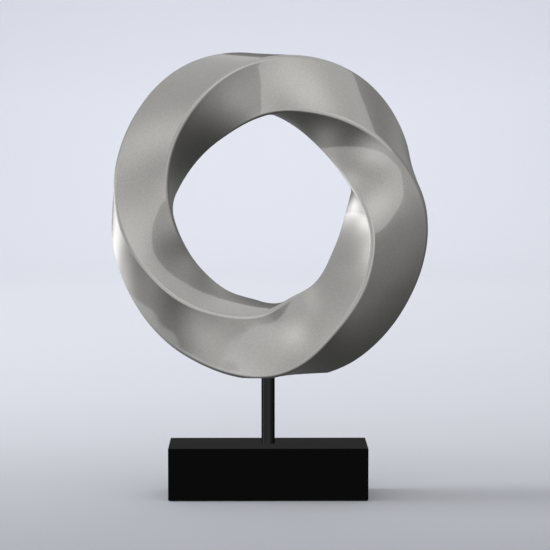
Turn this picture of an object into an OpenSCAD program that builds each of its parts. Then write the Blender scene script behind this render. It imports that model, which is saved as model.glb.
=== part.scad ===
// Twisted ring sculpture on a rod and a block, in millimetres.
// The origin is the middle of the underside, +Z is up and the front faces -Y.

/* [Ring] */
// Radius of the ring's centre line
ring_r = 126; // [110:1:150]
// Side of the ring's square section
section_side = 61.2; // [50:0.2:70]
// Radius of the section's four rounded edges
edge_r = 4.5; // [3:0.5:12]
// How far each side of the section bows out at its middle
side_crown = 1.5; // [0:0.25:3]
// Depth of the flat cut into the ring's lowest side
foot_cut = 2; // [1:0.5:8]
// Quarter turns of the section on one trip round the ring
quarter_turns = 4; // [2:1:6]
// Angle from outward to frontward of one edge at the ring's right-hand side
first_edge_angle = 47; // [0:1:90]
// Turn of the ring about the rod
ring_yaw = 7; // [-90:1:90]
// Size of the section at twelve places from the right-hand side over the top
size_shares = [1.09, 0.99, 0.99, 0.95, 1.00, 0.95, 0.94, 0.90, 1.00, 1.16, 1.07, 1.11]; // [0.85:0.01:1.2]
// Distance of the section from the ring's middle at the same places
reach_shares = [0.955, 0.975, 1.01, 1.04, 1.04, 1.015, 1, 0.98, 0.99, 1, 1.02, 0.965]; // [0.9:0.005:1.1]
// Lead of the twist at the same places, in degrees
twist_leads = [-13, -5, 0, 0, 2, -2, -1, 2, 4, -2, 14, -2]; // [-20:1:20]

/* [Rod] */
// Outer diameter of the rod
rod_d = 13.5; // [12:0.1:20]
// Length of rod in view between block and ring
rod_show = 70; // [40:1:120]
// Depth of the seats that the rod's ends stand in
seat_depth = 4; // [2:0.5:8]

/* [Block] */
// Width of the block
block_w = 200; // [150:1:260]
// Depth of the block from front to back
block_d = 75; // [50:1:120]
// Height of the block
block_h = 52; // [35:1:70]
// Chamfer on the block's edges
block_chamfer = 0.4; // [0.3:0.1:3]
// Thickness of the felt sheet
felt_t = 1; // [0.5:0.1:3]
// Distance of the felt sheet from the block's edges
felt_inset = 1; // [1:0.5:8]

/* [Fasteners] */
// Thread diameter of the through bolt
bolt_d = 8; // [6:0.5:10]
// How far the bolt reaches into the insert
thread_reach = 12.4; // [8:0.1:18]
// Width of the bolt's head across its flats
head_flats = 13; // [11:0.5:15]
// Height of the bolt's head
head_h = 5.3; // [4:0.1:7]
// Diameter of the plain washer
washer_d = 16; // [15:0.5:20]
// Thickness of the plain washer
washer_t = 1.6; // [1:0.1:3]
// Diameter of the spring washer
spring_d = 14.8; // [13:0.1:15]
// Thickness of the spring washer
spring_t = 2; // [1:0.1:3]
// Gap in the split spring washer
spring_split = 2; // [1:0.1:3]
// Slope of the spring washer's split
split_slope = 20; // [0:1:35]
// Diameter of the threaded insert
insert_d = 12; // [11:0.5:12]
// Length of the threaded insert
insert_l = 20; // [20:1:30]
// Depth of the drilled hole past the insert
drill_past = 4; // [1:0.5:8]
// Diameter of the counterbore under the block
counterbore_d = 24; // [22:0.5:32]
// Depth of the counterbore
counterbore_h = 12; // [11:0.5:16]

/* [Fits] */
// Radial clearance of the bolt in rod, block and washers
bolt_clear = 0.3; // [0.2:0.05:0.6]
// Radial clearance of the bolt in the insert's thread
thread_clear = 0.05; // [0.02:0.01:0.1]
// Radial clearance of the rod in its seats
seat_clear = 0.1; // [0.05:0.01:0.2]
// Radial clearance of the insert in the ring
insert_clear = 0.02; // [0.01:0.01:0.05]

/* [Hidden] */
$fn = 64;

// Number of samples round the ring, on an edge's arc and along a side
ring_steps = 72;
arc_steps = 4;
side_steps = 3;
// Angle of the ring's lowest place, counted like the other places
foot_turn = 270;
// Every cut runs past the face that it opens by this much
overrun = 2;
// Chamfer on the bolt's tip
tip_chamfer = 1;

block_z = felt_t;
block_top = block_z + block_h;
ring_flat = block_top + rod_show;
rod_z = block_top - seat_depth;
rod_l = rod_show + 2 * seat_depth;
insert_z = rod_z + rod_l;
web_z = block_z + counterbore_h;
washer_z = web_z - washer_t;
spring_z = washer_z - spring_t;
head_z = spring_z - head_h;
bolt_l = insert_z + thread_reach - head_z - head_h;
bolt_hole_r = bolt_d / 2 + bolt_clear;
profile = [for (k = [0 : 3]) for (p = quarter()) turned(p, 90 * k)];
ring_z = ring_flat - foot_cut - min([for (p = profile) on_ring(p, foot_turn).z]);

// A value from a list of places, smooth all round the ring
function around(list, turn) =
    let (n = len(list), place = turn / 360 * n, k = floor(place), t = place - k)
    let (a = list[(k - 1 + n) % n], b = list[k % n], c = list[(k + 1) % n], d = list[(k + 2) % n])
    b + t / 2 * (c - a + t * (2 * a - 5 * b + 4 * c - d + t * (3 * (b - c) + d - a)));

function turned(p, angle) = [p.x * cos(angle) - p.y * sin(angle), p.x * sin(angle) + p.y * cos(angle)];

// Quarter of the section's outline: one rounded edge and the crowned side after it
function quarter() = let (half = section_side / 2, flat = half - edge_r) concat(
    [for (i = [0 : arc_steps]) [flat, flat] + turned([edge_r, 0], 90 * i / arc_steps)],
    [for (i = [1 : side_steps]) let (s = 1 - 2 * i / (side_steps + 1)) [flat * s, half + side_crown * (1 - s * s)]]);

// Place of a point of the section at an angle round the ring
function on_ring(p, turn) =
    let (lead = first_edge_angle - 45 + quarter_turns * turn / 4 + around(twist_leads, turn))
    let (q = turned(p, lead) * around(size_shares, turn), reach = ring_r * around(reach_shares, turn) + q.x)
    [reach * cos(turn), -q.y, reach * sin(turn)];

module twisted_ring() {
    m = len(profile);
    points = [for (i = [0 : ring_steps - 1]) for (p = profile) on_ring(p, 360 * i / ring_steps)];
    // The last strip meets the first section, which is whole quarters further on
    faces = [for (i = [0 : ring_steps - 1]) for (j = [0 : m - 1])
        let (last = i == ring_steps - 1, on = last ? quarter_turns * m / 4 : 0, next = last ? 0 : (i + 1) * m)
        let (a = i * m + j, b = i * m + (j + 1) % m, c = next + (j + on) % m, d = next + (j + 1 + on) % m)
        each [[a, d, c], [a, b, d]]];
    polyhedron(points, faces);
}

module ring() {
    color([0.62, 0.61, 0.59]) difference() {
        translate([0, 0, ring_z]) rotate([0, 0, ring_yaw]) twisted_ring();
        // Flat that rests round the rod
        translate([-ring_r, -ring_r, ring_flat - ring_r]) cube([2 * ring_r, 2 * ring_r, ring_r]);
        // Seat for the rod's end
        translate([0, 0, ring_flat - overrun]) cylinder(h = seat_depth + overrun, r = rod_d / 2 + seat_clear);
        // Hole for the insert
        translate([0, 0, ring_flat]) cylinder(h = seat_depth + insert_l, r = insert_d / 2 + insert_clear);
        // Drilled end of that hole
        translate([0, 0, insert_z]) cylinder(h = insert_l + drill_past, r = bolt_hole_r);
    }
}

module threaded_insert() {
    color([0.55, 0.55, 0.57]) translate([0, 0, insert_z]) difference() {
        cylinder(h = insert_l, d = insert_d);
        translate([0, 0, -overrun]) cylinder(h = insert_l + 2 * overrun, r = bolt_d / 2 + thread_clear);
    }
}

module rod() {
    color([0.05, 0.05, 0.05]) translate([0, 0, rod_z]) difference() {
        cylinder(h = rod_l, d = rod_d);
        translate([0, 0, -overrun]) cylinder(h = rod_l + 2 * overrun, r = bolt_hole_r);
    }
}

// A rectangle with its four corners cut off
module chamfered(w, h) {
    c = block_chamfer;
    polygon([[c - w / 2, -h / 2], [w / 2 - c, -h / 2], [w / 2, c - h / 2], [w / 2, h / 2 - c],
        [w / 2 - c, h / 2], [c - w / 2, h / 2], [-w / 2, h / 2 - c], [-w / 2, c - h / 2]]);
}

module base_block() {
    color([0.04, 0.04, 0.04]) translate([0, 0, block_z]) difference() {
        translate([0, 0, block_h / 2]) intersection() {
            linear_extrude(height = block_h, center = true) chamfered(block_w, block_d);
            rotate([90, 0, 0]) linear_extrude(height = block_d, center = true) chamfered(block_w, block_h);
            rotate([90, 0, 90]) linear_extrude(height = block_w, center = true) chamfered(block_d, block_h);
        }
        translate([0, 0, -overrun]) cylinder(h = block_h + 2 * overrun, r = bolt_hole_r);
        translate([0, 0, -overrun]) cylinder(h = counterbore_h + overrun, d = counterbore_d);
        translate([0, 0, block_h - seat_depth]) cylinder(h = seat_depth + overrun, r = rod_d / 2 + seat_clear);
    }
}

module through_bolt() {
    head_r = head_flats / 2 / cos(30);
    cut = head_r - head_flats / 2;
    color([0.5, 0.5, 0.52]) translate([0, 0, head_z]) {
        intersection() {
            cylinder(h = head_h, r = head_r, $fn = 6);
            union() {
                cylinder(h = cut, r1 = head_flats / 2, r2 = head_r);
                translate([0, 0, cut]) cylinder(h = head_h - cut, r = head_r);
            }
        }
        translate([0, 0, head_h]) cylinder(h = bolt_l - tip_chamfer, d = bolt_d);
        translate([0, 0, head_h + bolt_l - tip_chamfer])
            cylinder(h = tip_chamfer, r1 = bolt_d / 2, r2 = bolt_d / 2 - tip_chamfer);
    }
}

module plain_washer() {
    color([0.6, 0.6, 0.62]) translate([0, 0, washer_z]) difference() {
        cylinder(h = washer_t, d = washer_d);
        translate([0, 0, -overrun]) cylinder(h = washer_t + 2 * overrun, r = bolt_hole_r);
    }
}

module spring_washer() {
    color([0.45, 0.45, 0.47]) translate([0, 0, spring_z]) difference() {
        cylinder(h = spring_t, d = spring_d);
        translate([0, 0, -overrun]) cylinder(h = spring_t + 2 * overrun, r = bolt_hole_r);
        translate([spring_d / 4 + overrun, 0, spring_t / 2]) rotate([split_slope, 0, 0])
            cube([spring_d / 2 + 2 * overrun, spring_split, spring_t + 2 * overrun], center = true);
    }
}

module felt_sheet() {
    color([0.12, 0.12, 0.13]) translate([felt_inset - block_w / 2, felt_inset - block_d / 2, 0])
        cube([block_w - 2 * felt_inset, block_d - 2 * felt_inset, felt_t]);
}

ring();
threaded_insert();
rod();
base_block();
through_bolt();
plain_washer();
spring_washer();
felt_sheet();
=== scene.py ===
import bpy
import bmesh
from math import sin, cos, pi, radians, floor
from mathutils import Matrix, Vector, noise


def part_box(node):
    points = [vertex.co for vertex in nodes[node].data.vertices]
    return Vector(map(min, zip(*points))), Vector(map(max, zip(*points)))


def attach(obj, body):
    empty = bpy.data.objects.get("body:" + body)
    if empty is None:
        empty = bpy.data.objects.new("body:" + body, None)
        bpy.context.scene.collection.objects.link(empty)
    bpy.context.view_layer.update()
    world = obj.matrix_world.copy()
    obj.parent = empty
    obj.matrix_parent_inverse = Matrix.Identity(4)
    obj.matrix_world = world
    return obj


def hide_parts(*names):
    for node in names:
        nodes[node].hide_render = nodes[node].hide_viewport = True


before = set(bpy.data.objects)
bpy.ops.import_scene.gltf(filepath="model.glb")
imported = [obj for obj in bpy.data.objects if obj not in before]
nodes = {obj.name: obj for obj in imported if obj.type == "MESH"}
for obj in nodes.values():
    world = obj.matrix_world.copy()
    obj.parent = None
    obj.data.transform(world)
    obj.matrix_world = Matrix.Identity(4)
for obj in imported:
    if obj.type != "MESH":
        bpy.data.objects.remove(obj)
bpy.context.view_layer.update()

scene = bpy.context.scene


class Sock:  # a socket, so that shader maths is written as plain expressions
    def __init__(self, shade, socket):
        self.shade, self.socket = shade, socket

    def maths(self, operation, *values):
        return self.shade.node("ShaderNodeMath", {"operation": operation}, dict(enumerate(values)))

    def __add__(self, other): return self.maths("ADD", self, other)
    def __radd__(self, other): return self.maths("ADD", other, self)
    def __sub__(self, other): return self.maths("SUBTRACT", self, other)
    def __rsub__(self, other): return self.maths("SUBTRACT", other, self)
    def __mul__(self, other): return self.maths("MULTIPLY", self, other)
    def __rmul__(self, other): return self.maths("MULTIPLY", other, self)
    def exp(self): return self.maths("EXPONENT", self)
    def atMost(self, limit): return self.maths("MINIMUM", self, limit)


class Shade:  # one material, or the world
    def __init__(self, name, owner=None):
        self.owner = owner or bpy.data.materials.new(name)
        self.owner.use_nodes = True
        self.tree = self.owner.node_tree
        self.surface = self.tree.nodes.get("Principled BSDF")

    def feed(self, socket, value):
        if isinstance(value, Sock):
            self.tree.links.new(value.socket, socket)
        else:
            socket.default_value = value

    def node(self, kind, settings=None, values=None, output=0):
        made = self.tree.nodes.new(kind)
        for key, value in (settings or {}).items():
            if key == "stops":  # a ramp's stops, as place and grey
                ramp = made.color_ramp
                while len(ramp.elements) < len(value):
                    ramp.elements.new(0.5)
                for stop, (place, grey) in zip(ramp.elements, value):
                    stop.position = place
                    stop.color = (grey, grey, grey, 1)
            else:
                setattr(made, key, value)
        for key, value in (values or {}).items():
            self.feed(made.inputs[key], value)
        return Sock(self, made.outputs[output])

    def place(self):  # object coordinates, in metres
        return self.node("ShaderNodeTexCoord", output=3)

    def stretched(self, vector, by):
        return self.node("ShaderNodeVectorMath", {"operation": "MULTIPLY"}, {0: vector, 1: by})

    def noise(self, vector, scale, detail, roughness):  # the dictionaries keep these three together
        return self.node("ShaderNodeTexNoise", values={
            "Vector": vector, "Scale": scale, "Detail": detail, "Roughness": roughness})

    def ramp(self, factor, *stops):
        return self.node("ShaderNodeValToRGB", {"stops": stops}, {"Fac": factor})

    def mix(self, factor, first, second, how="MIX"):
        return self.node("ShaderNodeMix", {"data_type": "RGBA", "blend_type": how},
                         {0: factor, 6: first, 7: second}, 2)

    def bump(self, height, strength, distance):
        return self.node("ShaderNodeBump", values={
            "Height": height, "Strength": strength, "Distance": distance})

    def coat(self, **sockets):
        for key, value in sockets.items():
            self.feed(self.surface.inputs[key.replace("_", " ")], value)
        return self.owner


def addPiece(name, bm):
    mesh = bpy.data.meshes.new(name)
    bm.to_mesh(mesh)
    bm.free()
    piece = bpy.data.objects.new(name, mesh)
    scene.collection.objects.link(piece)
    return piece


# lengths in metres and angles in degrees; sizes, reaches and leads start at the right and go over the top
ring = {
    "radius": 0.126, "side": 0.0610, "edge": 0.0045, "crown": 0.0015,
    "firstEdge": 47, "yaw": 7, "footCut": 0.002, "footTurn": 270,
    "sizes": (1.09, 0.99, 0.99, 0.95, 1.00, 0.95, 0.94, 0.90, 1.00, 1.16, 1.07, 1.11),
    "reaches": (0.955, 0.975, 1.01, 1.04, 1.04, 1.015, 1.00, 0.98, 0.99, 1.00, 1.02, 0.965),
    "leads": (-13, -5, 0, 0, 2, -2, -1, 2, 4, -2, 14, -2),
    "steps": 360, "arcSteps": 10, "sideSteps": 15, "merge": 1e-6,
    "wave": 0.0003, "waveLength": 0.024,  # the hand-dressed surface isn't quite even
}


def around(shares, turn):  # a smooth value between the places of a list that closes on itself
    n = len(shares)
    spot = turn / 360 * n
    k = floor(spot)
    t = spot - k
    a, b, c, d = (shares[(k + i) % n] for i in (-1, 0, 1, 2))
    return b + t / 2 * (c - a + t * (2 * a - 5 * b + 4 * c - d + t * (3 * (b - c) + d - a)))


def ringOutline():
    half, edge, crown = ring["side"] / 2, ring["edge"], ring["crown"]
    flat = half - edge
    quarter = []
    for i in range(ring["arcSteps"] + 1):
        a = pi / 2 * i / ring["arcSteps"]
        quarter.append((flat + edge * cos(a), flat + edge * sin(a)))
    for i in range(1, ring["sideSteps"] + 1):
        s = 1 - 2 * i / (ring["sideSteps"] + 1)
        quarter.append((flat * s, half + crown * (1 - s * s)))
    outline = []
    for c, s in ((1, 0), (0, 1), (-1, 0), (0, -1)):
        outline += [(x * c - y * s, x * s + y * c) for x, y in quarter]
    return outline


def onRing(point, turn):
    lead = radians(ring["firstEdge"] - 45 + turn + around(ring["leads"], turn))  # an edge is 45 off the sides
    size = around(ring["sizes"], turn)
    out = (point[0] * cos(lead) - point[1] * sin(lead)) * size
    front = (point[0] * sin(lead) + point[1] * cos(lead)) * size
    reach = ring["radius"] * around(ring["reaches"], turn) + out
    a = radians(turn)
    return reach * cos(a), -front, reach * sin(a)


def makeRing():
    outline = ringOutline()
    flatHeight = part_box("ring")[0].z
    middle = flatHeight - ring["footCut"] - min(onRing(p, ring["footTurn"])[2] for p in outline)
    c, s = cos(radians(ring["yaw"])), sin(radians(ring["yaw"]))
    bm = bmesh.new()
    loops = []
    for i in range(ring["steps"]):
        spots = [onRing(p, 360 * i / ring["steps"]) for p in outline]
        loops.append([bm.verts.new((x * c - y * s, x * s + y * c, z + middle)) for x, y, z in spots])
    m = len(outline)
    for i, loop in enumerate(loops):
        after = loops[(i + 1) % len(loops)]
        for j in range(m):
            bm.faces.new((loop[j], loop[(j + 1) % m], after[(j + 1) % m], after[j]))
    bmesh.ops.recalc_face_normals(bm, faces=bm.faces)
    for face in bm.faces:
        face.smooth = True
    for v in bm.verts:  # the wave only goes inward
        v.co -= v.normal * ring["wave"] * (0.5 + 0.5 * noise.noise(v.co / ring["waveLength"]))
    cut = bmesh.ops.bisect_plane(bm, geom=bm.verts[:] + bm.edges[:] + bm.faces[:], plane_co=(0, 0, flatHeight),
                                 plane_no=(0, 0, 1), clear_inner=True, dist=ring["merge"])
    rim = [e for e in cut["geom_cut"] if isinstance(e, bmesh.types.BMEdge)]
    bmesh.ops.contextual_create(bm, geom=rim)
    for e in rim:
        e.smooth = False
    return addPiece("ringCasting", bm)


metal = {
    "grey": (0.331, 0.323, 0.304, 1), "dull": (0.232, 0.227, 0.214, 1), "glint": (0.50, 0.488, 0.460, 1),
    "grain": (1100, 3, 0.6), "grainStops": ((0.35, 0), (0.7, 1)),
    "speck": (2000, 2, 0.5), "speckStops": ((0.42, 0), (0.72, 1)), "speckShare": 0.35,
    "roughness": 0.32, "cloud": (26, 4, 0.6), "cloudRough": 0.10, "grainRough": 0.12,
    "relief": 0.35, "reliefDepth": 0.00012, "speckRelief": 0.3,
    "coatIor": 2.35, "coatRoughness": 0.045,
}


def satinMetal():
    m = Shade("ringMetal")
    place = m.place()
    grain = m.noise(place, *metal["grain"])
    speck = m.ramp(m.noise(place, *metal["speck"]), *metal["speckStops"])
    cloud = m.noise(place, *metal["cloud"])
    tone = m.mix(m.ramp(grain, *metal["grainStops"]), metal["dull"], metal["grey"])
    tone = m.mix(speck * metal["speckShare"], tone, metal["glint"])
    rough = metal["roughness"] + (cloud - 0.5) * metal["cloudRough"] + (grain - 0.5) * metal["grainRough"]
    height = grain * (1 - metal["speckRelief"]) + speck * metal["speckRelief"]
    return m.coat(Base_Color=tone, Metallic=1.0, Roughness=rough,
                  Normal=m.bump(height, metal["relief"], metal["reliefDepth"]),
                  Coat_Weight=1.0, Coat_IOR=metal["coatIor"], Coat_Roughness=metal["coatRoughness"])


casting = makeRing()
casting.data.materials.append(satinMetal())
casting.visible_glossy = False  # in the photo the metal shows the room only, never itself
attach(casting, "root")
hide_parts("ring")
print("ring made")


rod = {
    "bore": 0.0043, "chamfer": 0.0004, "around": 96, "sharpFrom": 30,
    "dark": (0.020, 0.020, 0.020, 1), "light": (0.032, 0.032, 0.032, 1), "mottle": (600, 3, 0.55),
    "roughness": 0.22, "mottleRough": 0.08, "edgeTint": (0.06, 0.06, 0.06, 1),
    "relief": 0.12, "reliefDepth": 0.0001,
}


def lathe(name, profile, steps):  # a closed outline of (radius, height), turned about the upright axis
    bm = bmesh.new()
    turns = [2 * pi * i / steps for i in range(steps)]
    rings = [[bm.verts.new((r * cos(t), r * sin(t), z)) for t in turns] for r, z in profile]
    for a, b in zip(rings, rings[1:] + rings[:1]):
        for i in range(steps):
            face = bm.faces.new((a[i], a[(i + 1) % steps], b[(i + 1) % steps], b[i]))
            face.smooth = True
    bmesh.ops.recalc_face_normals(bm, faces=bm.faces)
    for e in bm.edges:
        if len(e.link_faces) == 2 and e.calc_face_angle() > radians(rod["sharpFrom"]):
            e.smooth = False
    return addPiece(name, bm)


def satinBlack():
    m = Shade("rodPaint")
    mottle = m.noise(m.place(), *rod["mottle"])
    return m.coat(Base_Color=m.mix(mottle, rod["dark"], rod["light"]), Metallic=1.0,
                  Roughness=rod["roughness"] + (mottle - 0.5) * rod["mottleRough"],
                  Specular_Tint=rod["edgeTint"], Normal=m.bump(mottle, rod["relief"], rod["reliefDepth"]))


rodLow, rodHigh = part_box("rod")
outer, inner, c = (rodHigh.x - rodLow.x) / 2, rod["bore"], rod["chamfer"]
tube = lathe("rodTube", [(inner, rodLow.z), (outer - c, rodLow.z), (outer, rodLow.z + c),
                         (outer, rodHigh.z - c), (outer - c, rodHigh.z), (inner, rodHigh.z)], rod["around"])
tube.data.materials.append(satinBlack())
tube.visible_glossy = False
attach(tube, "root")
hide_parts("rod")
print("rod made")


block = {
    "dark": (0.0001, 0.0001, 0.0001, 1), "light": (0.0005, 0.0005, 0.0005, 1),
    "cloud": (22, 4, 0.6), "fine": (1400, 2, 0.5),
    "roughness": 0.40, "cloudRough": 0.08, "fineRough": 0.08, "sheen": 0.044,
    "relief": 0.15, "reliefDepth": 0.00008,
}


def mattBlack():
    m = Shade("blockPaint")
    place = m.place()
    fine = m.noise(place, *block["fine"])
    cloud = m.noise(place, *block["cloud"])
    rough = block["roughness"] + (cloud - 0.5) * block["cloudRough"] + (fine - 0.5) * block["fineRough"]
    return m.coat(Base_Color=m.mix(cloud, block["dark"], block["light"]), Metallic=0.0, Roughness=rough,
                  Specular_IOR_Level=block["sheen"], Normal=m.bump(fine, block["relief"], block["reliefDepth"]))


def dress(node, material):
    mesh = nodes[node].data
    mesh.materials.clear()
    mesh.materials.append(material)
    nodes[node].visible_glossy = False  # leaves no small dark image in the ring


dress("base_block", mattBlack())
print("block dressed")


plating = {
    "boltGrey": 0.55, "boltRoughness": 0.32, "insertGrey": 0.46, "insertRoughness": 0.38,
    "low": (0.85, 0.85, 0.87), "high": (1, 1, 1.03), "marks": (1, 3, 0.6), "stretch": (60, 60, 2400),
    "markRough": 0.15,
    "relief": 0.2, "reliefDepth": 0.0001,
}


def platedSteel(name, grey, roughness):  # with fine marks of turning round the upright axis
    m = Shade(name)
    marks = m.noise(m.stretched(m.place(), plating["stretch"]), *plating["marks"])
    low, high = ((*(grey * share for share in plating[key]), 1) for key in ("low", "high"))
    return m.coat(Base_Color=m.mix(marks, low, high), Metallic=1.0,
                  Roughness=roughness + (marks - 0.5) * plating["markRough"],
                  Normal=m.bump(marks, plating["relief"], plating["reliefDepth"]))


plated = platedSteel("boltPlating", plating["boltGrey"], plating["boltRoughness"])
for fastener in ("through_bolt", "plain_washer", "spring_washer"):
    dress(fastener, plated)
dress("threaded_insert", platedSteel("insertSteel", plating["insertGrey"], plating["insertRoughness"]))


felt = {
    "dark": (0.012, 0.012, 0.013, 1), "light": (0.05, 0.05, 0.053, 1),
    "fibre": (1800, 4, 0.7), "matted": (420, 3, 0.6), "lay": (1, 2.6, 1), "mattedShare": 0.4,
    "roughness": 0.93, "fibreRough": 0.1, "sheen": 0.35, "sheenRoughness": 0.5,
    "relief": 0.6, "reliefDepth": 0.0003,
}


def pressedFelt():
    m = Shade("blackFelt")
    place = m.place()
    fibre = m.noise(place, *felt["fibre"])
    matted = m.noise(m.stretched(place, felt["lay"]), *felt["matted"])
    mixed = fibre * (1 - felt["mattedShare"]) + matted * felt["mattedShare"]
    return m.coat(Base_Color=m.mix(mixed, felt["dark"], felt["light"]),
                  Roughness=felt["roughness"] + (fibre - 0.5) * felt["fibreRough"],
                  Sheen_Weight=felt["sheen"], Sheen_Roughness=felt["sheenRoughness"],
                  Normal=m.bump(fibre, felt["relief"], felt["reliefDepth"]))


dress("felt_sheet", pressedFelt())
print("fasteners and felt dressed")


bowl = {"flat": 3.0, "bend": 1.5, "rings": 24, "around": 128}  # a sheet that curves up on every side


def makeBowl():
    bm = bmesh.new()
    turns = [2 * pi * k / bowl["around"] for k in range(bowl["around"])]
    rings = []
    for i in range(bowl["rings"] + 1):
        a = pi / 2 * i / bowl["rings"]
        r, z = bowl["flat"] + bowl["bend"] * sin(a), bowl["bend"] * (1 - cos(a))
        rings.append([bm.verts.new((r * cos(t), r * sin(t), z)) for t in turns])
    bm.faces.new(rings[0])
    for a, b in zip(rings, rings[1:]):
        for k in range(len(a)):
            face = bm.faces.new((a[k], b[k], b[(k + 1) % len(b)], a[(k + 1) % len(a)]))
            face.smooth = True
    return addPiece("paperBowl", bm)


card = {
    "tint": (0.865, 0.89, 0.968, 1),
    "paintedFalloff": ((-1.5, 0.62), (-0.32, 0.465), (0.0, 0.56), (0.37, 0.69), (0.75, 0.76), (1.4, 0.835),
             (2.4, 0.92), (3.95, 0.94), (4.25, 0.87)),  # distance behind the object, share of the tint; painted light falloff
    "sides": 0.1, "sidesMost": 0.2, "tooth": (300, 2, 0.5), "toothDepth": 0.02, "roughness": 0.9,
}


def palePaper():  # painted shade: darker towards the front, again high on the far bend, and a little towards the sides, where light falls off
    m = Shade("palePaper")
    place = m.place()
    across, away = (m.node("ShaderNodeSeparateXYZ", values={0: place}, output=i) for i in range(2))
    near, span = card["paintedFalloff"][0][0], card["paintedFalloff"][-1][0] - card["paintedFalloff"][0][0]
    # painted light falloff along the sheet, from front to back
    paintedFalloff = m.ramp((away - near) * (1 / span), *[((y - near) / span, share) for y, share in card["paintedFalloff"]])
    # painted shade towards the sides, up to a limit
    dark = (across * across * card["sides"]).atMost(card["sidesMost"])
    tooth = 1 + (m.noise(place, *card["tooth"]) - 0.5) * card["toothDepth"]
    tone = m.mix(1.0, card["tint"], paintedFalloff * (1 - dark) * tooth, "MULTIPLY")
    return m.coat(Base_Color=tone, Roughness=card["roughness"])


paper = makeBowl()
paper.data.materials.append(palePaper())
paper.visible_glossy = False  # the metal shows the room, not the paper
print("paper laid")


room = {  # azimuth from the camera's side towards the right, elevation, spread, strength
    "leftBackStrip": (-150, -5, 10, 1.69),
    "leftStrip": (-122, -10, 9, 1.57),
    "leftNearStrip": (-92, 0, 9, 1.92),
    "leftFrontBox": (-52, 22, 16, 0.51),
    "frontBox": (15, 25, 18, 0.65),
    "lowLeftCard": (-24, -38, 14, 0.71),
    "lowSideCard": (-108, -44, 16, 0.40),
    "lowRightCard": (30, -30, 22, 0.70),
    "rightCard": (85, 18, 20, 0.45),
    "backCard": (145, 26, 19, 0.38),
    "ceiling": (0, 90, 22, 0.32),
}
# the lit half of the room, the sharpness of its edge, and the level everywhere
wall = {"azimuth": -57, "elevation": 47, "strength": 0.57, "edge": 60, "level": 0.090}


def heading(azimuth, elevation):
    a, e = radians(azimuth), radians(elevation)
    return sin(a) * cos(e), -cos(a) * cos(e), sin(e)


world = bpy.data.worlds.new("studioRoom")
scene.world = world
w = Shade("studioRoom", world)
direction = w.node("ShaderNodeTexCoord", output=0)


def towards(azimuth, elevation):
    facing = heading(azimuth, elevation)
    return w.node("ShaderNodeVectorMath", {"operation": "DOT_PRODUCT"}, {0: direction, 1: facing}, 1)


half = towards(wall["azimuth"], wall["elevation"]) * wall["edge"] + 0.5
light = w.ramp(half, (0, 0), (1, 1)) * wall["strength"] + wall["level"]
for azimuth, elevation, spread, strength in room.values():
    light = light + ((towards(azimuth, elevation) - 1) * (1 / radians(spread) ** 2)).exp() * strength
back = w.tree.nodes["Background"]
w.feed(back.inputs["Color"], light)
back.inputs["Strength"].default_value = 1.0

key = {
    "azimuth": -93, "elevation": 38, "distance": 3.5, "wide": 0.9, "tall": 3.0, "radiance": 7.0,
    "aim": (0, 0, 0.05),
}
lampData = bpy.data.lights.new("keyBox", "AREA")
lampData.shape = "RECTANGLE"
lampData.size, lampData.size_y = key["wide"], key["tall"]
lampData.energy = key["radiance"] * pi * key["wide"] * key["tall"]
lamp = bpy.data.objects.new("keyBox", lampData)
away = Vector(heading(key["azimuth"], key["elevation"]))
lamp.location = Vector(key["aim"]) + away * key["distance"]
lamp.rotation_euler = away.to_track_quat("Z", "Y").to_euler()
lamp.visible_camera = lamp.visible_glossy = False  # it only draws the shadows on the paper
scene.collection.objects.link(lamp)
print("studio made")


# place in metres, pan and tilt in degrees, focal length in pixels of a square frame
view = {
    "place": (-0.01116, -2.32847, 0.407), "pan": 0.4465, "tilt": 4.498,
    "focal": 2319.26, "frame": 550, "sensor": 36,
}

cameraData = bpy.data.cameras.new("camera")
cameraData.sensor_width = view["sensor"]
cameraData.lens = view["focal"] / view["frame"] * view["sensor"]
camera = bpy.data.objects.new("camera", cameraData)
camera.location = view["place"]
camera.rotation_euler = (radians(90 - view["tilt"]), 0, radians(-view["pan"]))
scene.collection.objects.link(camera)
scene.camera = camera
print("camera set")

scene.view_settings.view_transform = "Standard"
